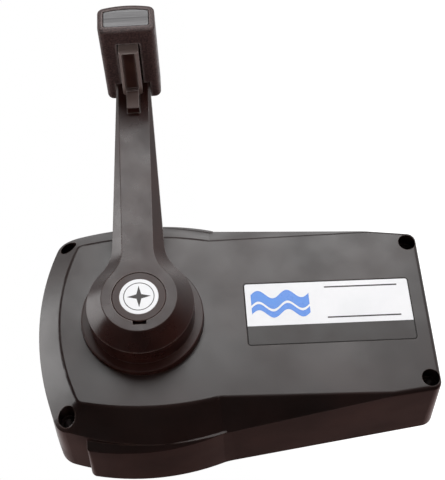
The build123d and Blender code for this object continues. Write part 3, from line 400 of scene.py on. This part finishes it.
# painted shadow: a black band round the sheet, where the gap to the cover lies in shade, which
# reads as a dark outline
bm = bmesh.new()
ink_panel(bm, label_width + 2 * shadow_band, label_height + 2 * shadow_band, (0, 0))
bmesh.ops.bevel(bm, geom=bm.verts[:], offset=label_corner + shadow_band, affect="VERTICES",
                segments=corner_steps, profile=0.5, material=-1)
bmesh.ops.inset_region(bm, faces=bm.faces[:], thickness=shadow_band + shadow_band_lap, use_even_offset=True,
                       use_boundary=True)
bmesh.ops.delete(bm, geom=[f for f in bm.faces if len(f.verts) > 4], context="FACES")
print_ink("label_shadow_band", bm, gap_shadow_paint, "base", label_place, shadow_band)

bm = bmesh.new()
for middle_z in (label_height / 2 - rule_gap - rule / 2, foot_top + rule_gap + rule / 2):
    ink_panel(bm, rule_length, rule, (label_width / 2 - 2 * rule_gap - rule_length / 2, middle_z))
print_ink("label_rules", bm, charcoal_ink, "base", label_place)

bm = bmesh.new()
for width, middle_z in (low_ribbon, high_ribbon):
    ribbon = bmesh.ops.create_grid(bm, x_segments=wave_steps, y_segments=1, size=0.5)["verts"]
    bmesh.ops.scale(bm, verts=ribbon, vec=(2 * wave_length, width, 1))
    for point in ribbon:
        point.co.y += middle_z + wave_rise * sin(2 * pi * point.co.x / wave_length)
bmesh.ops.translate(bm, verts=bm.verts, vec=(rule_gap + wave_length - label_width / 2,
                                             (foot_top + label_height / 2) / 2, 0))
print_ink("label_wave", bm, blue_ink, "base", label_place)

badge_front = 87.2 * mm
ring_r = 8.6 * mm
ring_steps = 64
star_r = 6.6 * mm
star_points = 4
star_waist = 0.29           # inner corners, as a share of the points
badge_place = Matrix.Translation((0, -badge_front, 0)) @ stands_upright

bm = bmesh.new()
star = bmesh.ops.create_circle(bm, cap_ends=True, radius=star_r, segments=2 * star_points)["verts"]
bmesh.ops.scale(bm, verts=star[1::2], vec=(star_waist, star_waist, 1))
print_ink("badge_star", bm, charcoal_ink, "button", badge_place)

bm = bmesh.new()
bmesh.ops.create_circle(bm, radius=ring_r, segments=ring_steps)
inner = bmesh.ops.extrude_edge_only(bm, edges=bm.edges[:])["geom"]
bmesh.ops.scale(bm, verts=[v for v in inner if isinstance(v, bmesh.types.BMVert)],
                vec=(1 - rule / 2 / ring_r, 1 - rule / 2 / ring_r, 1))
print_ink("badge_ring", bm, charcoal_ink, "button", badge_place)

# ---------------------------------------------------------------- shafts, pins and rods
# The lever's shaft, the pivots, the cable pins, the detent's roller, the lock's rod and the
# button's plunger are turned or drawn from plain carbon steel, and run in bushes or bores.

# turned marks well under 0.1 mm, drawn at 0.5 mm, leave a bright metal with streaky highlights
steel, shader, place = new_material("bright_steel", Metallic=1.0)
mottle(steel, shader, place, low="#8d8e90", high="#a2a3a5", size=4 * mm)
grain(steel, shader, place, size=0.5 * mm, depth=0.004 * mm, roughness=(0.24, 0.40),
      patch=10 * mm)
dress(steel, "main_shaft", "lock_rod", "button_plunger", "shift_pivot", "throttle_pivot",
      "detent_roller", "shift_cable_pin", "throttle_cable_pin")

# ---------------------------------------------------------------- plate, sectors and fasteners
# The back plate, the sectors and the anchor's straps are pressed from mild steel sheet; these,
# the screws, the hub's nut and the detent's post are zinc-plated against the salt.

# passivated zinc is a slightly yellow grey, cloudy over about a centimetre and only half bright
zinc, shader, place = new_material("zinc_plated_sheet", Metallic=1.0)
mottle(zinc, shader, place, low="#8f918d", high="#a9aaa2", size=12 * mm)
grain(zinc, shader, place, size=1.0 * mm, depth=0.008 * mm, roughness=(0.32, 0.52),
      patch=10 * mm)
dress(zinc, "back_plate", "plate_screws", "shift_sector", "throttle_sector", "anchor_straps",
      "anchor_screws", "hub_nut", "detent_post")

# ---------------------------------------------------------------- springs, clips and gears
# Hardened steel parts: two springs coiled from round wire, clips, a ring and a leaf stamped from
# strip, and the gears, the detent's wheel and the lock's dog. Both coil springs bear on the
# lever, and shorten as the trigger lifts or the button is pressed.
wire_sides = 12
turn_steps = 32
rod_level = 77 * mm         # of the rod's axis, in front of the panel
rod_stop = 98.0 * mm        # heights of the spring's end on the rod, and of its seat in the arm
spring_seat = 116.5 * mm
nut_level = 78.5 * mm       # levels of the nut's front, and of the button's inner face
button_ceiling = 83.96 * mm

# quenched in oil, which leaves a dark grey metal with a soft gloss; its fine scale is drawn at
# 0.4 mm
spring_steel, shader, place = new_material("oiled_spring_steel", Metallic=1.0)
mottle(spring_steel, shader, place, low="#4c4c50", high="#5e5e62", size=3 * mm)
grain(spring_steel, shader, place, size=0.4 * mm, depth=0.003 * mm, roughness=(0.29, 0.41),
      patch=10 * mm)


def coil_spring(name, place, length, radius, wire, turns):
    """Compression spring of round wire, standing on place's origin along its z axis."""
    bm = bmesh.new()
    bmesh.ops.create_circle(bm, radius=wire, segments=wire_sides,
                            matrix=Matrix.Translation((radius, 0, wire)) @ stands_upright)
    steps = turns * turn_steps
    bmesh.ops.spin(bm, geom=bm.verts[:] + bm.edges[:], cent=(0, 0, 0), axis=(0, 0, 1),
                   dvec=(0, 0, (length - 2 * wire) / steps), angle=2 * pi * turns, steps=steps)
    bmesh.ops.holes_fill(bm, edges=[e for e in bm.edges if e.is_boundary], sides=0)
    bmesh.ops.recalc_face_normals(bm, faces=bm.faces)
    for face in bm.faces:
        face.smooth = len(face.verts) == 4      # the cut ends stay flat
    bmesh.ops.transform(bm, matrix=place, verts=bm.verts)
    mesh = bpy.data.meshes.new(name)
    bm.to_mesh(mesh)
    bm.free()
    mesh.materials.append(spring_steel)
    spring = bpy.data.objects.new(name, mesh)
    bpy.context.scene.collection.objects.link(spring)
    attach(spring, "lever")
    return spring


release_spring = coil_spring("release_spring", Matrix.Translation((0, -rod_level, rod_stop)),
                             length=spring_seat - rod_stop, radius=3.4 * mm, wire=0.6 * mm,
                             turns=6)
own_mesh(release_spring)
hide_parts("lock_spring")

return_spring = coil_spring("return_spring",
                            Matrix.Translation((0, -nut_level, 0)) @ stands_upright,
                            length=button_ceiling - nut_level, radius=7.4 * mm, wire=0.5 * mm,
                            turns=3)
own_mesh(return_spring)
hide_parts("button_spring")
dress(spring_steel, "sector_clips", "detent_leaf", "retaining_ring", "lock_spring",
      "button_spring", "drive_gear", "detent_wheel", "lock_dog")

# ---------------------------------------------------------------- bushes and cable anchor
# The shaft's two bushes, the thrust washer and the block that the cables are strapped to are
# moulded in natural nylon, which slides well and needs no grease.

# unpigmented nylon is a milky cream; moulding marks under 0.3 mm are drawn at 0.8 mm
nylon, shader, place = new_material("natural_nylon", IOR=1.53)
mottle(nylon, shader, place, low="#d4cfc0", high="#ded9cc", size=10 * mm)
grain(nylon, shader, place, size=0.8 * mm, depth=0.008 * mm, roughness=(0.39, 0.51),
      patch=10 * mm)
dress(nylon, "front_bush", "rear_bush", "thrust_washer", "cable_anchor")

# ---------------------------------------------------------------- camera, light and floor
# The camera looks up at the control from in front and below. A large soft light hangs in front
# and above, a second one stands at the left, and a painted floor lies well below the control.
camera_place = Vector((0.03445, -0.58266, -0.25926))
camera_aim = Vector((0.04256, -0.0866, 0.02603))
camera_roll = -4.02
focal_px = 1015.8
centre_px = (213.27, 251.18)    # where the lens's axis meets the image
image_px = (445, 480)

lens = bpy.data.cameras.new("camera")
lens.sensor_width = 36
lens.lens = focal_px * lens.sensor_width / max(image_px)
lens.shift_x = (image_px[0] / 2 - centre_px[0]) / max(image_px)
lens.shift_y = (centre_px[1] - image_px[1] / 2) / max(image_px)
camera = bpy.data.objects.new("camera", lens)
camera.rotation_mode = "QUATERNION"
camera.rotation_quaternion = (camera_aim - camera_place).to_track_quat("-Z", "Y") \
    @ Quaternion((0, 0, 1), radians(camera_roll))
camera.location = camera_place
bpy.context.scene.collection.objects.link(camera)
bpy.context.scene.camera = camera
bpy.context.scene.view_settings.view_transform = "Standard"


def softbox(name, place, width, height, radiance):
    """Rectangular soft light at place, turned towards the hub."""
    lamp = bpy.data.lights.new(name, "AREA")
    lamp.shape = "RECTANGLE"
    lamp.size = width
    lamp.size_y = height
    lamp.energy = radiance * pi * width * height
    holder = bpy.data.objects.new(name, lamp)
    holder.location = place
    holder.rotation_euler = (-Vector(place)).to_track_quat("-Z", "Y").to_euler()
    bpy.context.scene.collection.objects.link(holder)


softbox("front_softbox", (0.22, -1.24, 0.90), width=1.2, height=0.85, radiance=4.4)
softbox("left_softbox", (-1.40, -0.12, 0.42), width=0.8, height=1.15, radiance=3.5)

floor_z = -0.45
floor_half = 6.0
bm = bmesh.new()
bmesh.ops.create_grid(bm, x_segments=1, y_segments=1, size=floor_half)
bmesh.ops.translate(bm, verts=bm.verts, vec=(0, 0, floor_z))
floor_mesh = bpy.data.meshes.new("floor")
bm.to_mesh(floor_mesh)
bm.free()
floor = bpy.data.objects.new("floor", floor_mesh)
floor.visible_glossy = False
bpy.context.scene.collection.objects.link(floor)

# matt emulsion, which takes a soft shadow; from below, the floor lets the white surroundings
# through
floor_paint, shader, _ = new_material("floor_paint", Roughness=0.9)
shader.inputs["Base Color"].default_value = colour("#f2f2f0")
underneath = node(floor_paint, "ShaderNodeNewGeometry").outputs["Backfacing"]
clear = node(floor_paint, "ShaderNodeBsdfTransparent").outputs["BSDF"]
one_sided = node(floor_paint, "ShaderNodeMixShader",
                 links={0: underneath, 1: shader.outputs["BSDF"], 2: clear})
floor_paint.node_tree.links.new(one_sided.outputs["Shader"],
                                floor_paint.node_tree.nodes["Material Output"].inputs["Surface"])
floor_mesh.materials.append(floor_paint)

# To the eye the surroundings are white. They light the control from behind and, dimmer, from
# the right, fading below it to a warm, dim bounce; in front of it the room is dark.
world = bpy.data.worlds.new("studio")
bpy.context.scene.world = world
world.use_nodes = True
background = world.node_tree.nodes["Background"]
direction = node(world, "ShaderNodeTexCoord").outputs["Generated"]
to_x, to_y, to_z = node(world, "ShaderNodeSeparateXYZ", links={"Vector": direction}).outputs
behind = node(world, "ShaderNodeMapRange", {"From Max": 0.6}, {"Value": to_y})
right = node(world, "ShaderNodeMapRange", {"From Max": 0.4, "To Max": 0.65}, {"Value": to_x})
above = node(world, "ShaderNodeMapRange", {"From Min": -0.45, "From Max": 0.35, "To Min": 0.04},
             {"Value": to_z})
sides = node(world, "ShaderNodeMath", {"operation": "ADD"},
             {0: behind.outputs["Result"], 1: right.outputs["Result"]})
level = node(world, "ShaderNodeMath", {"operation": "MULTIPLY"},
             {0: sides.outputs[0], 1: above.outputs["Result"]})
rays = node(world, "ShaderNodeLightPath").outputs
seen = node(world, "ShaderNodeMath", {"operation": "MAXIMUM"},
            {0: rays["Is Camera Ray"], 1: rays["Is Transmission Ray"]})
strength = node(world, "ShaderNodeMath", {"operation": "MAXIMUM"},
                {0: level.outputs[0], 1: seen.outputs[0]})
world.node_tree.links.new(strength.outputs[0], background.inputs["Strength"])
whiteness = node(world, "ShaderNodeMath", {"operation": "MAXIMUM"},
                 {0: above.outputs["Result"], 1: seen.outputs[0]})
tint = node(world, "ShaderNodeMix",
            {"data_type": "RGBA", 6: colour("#eda396"), 7: colour("#ffffff")},
            {0: whiteness.outputs[0]})
world.node_tree.links.new(tint.outputs[2], background.inputs["Color"])
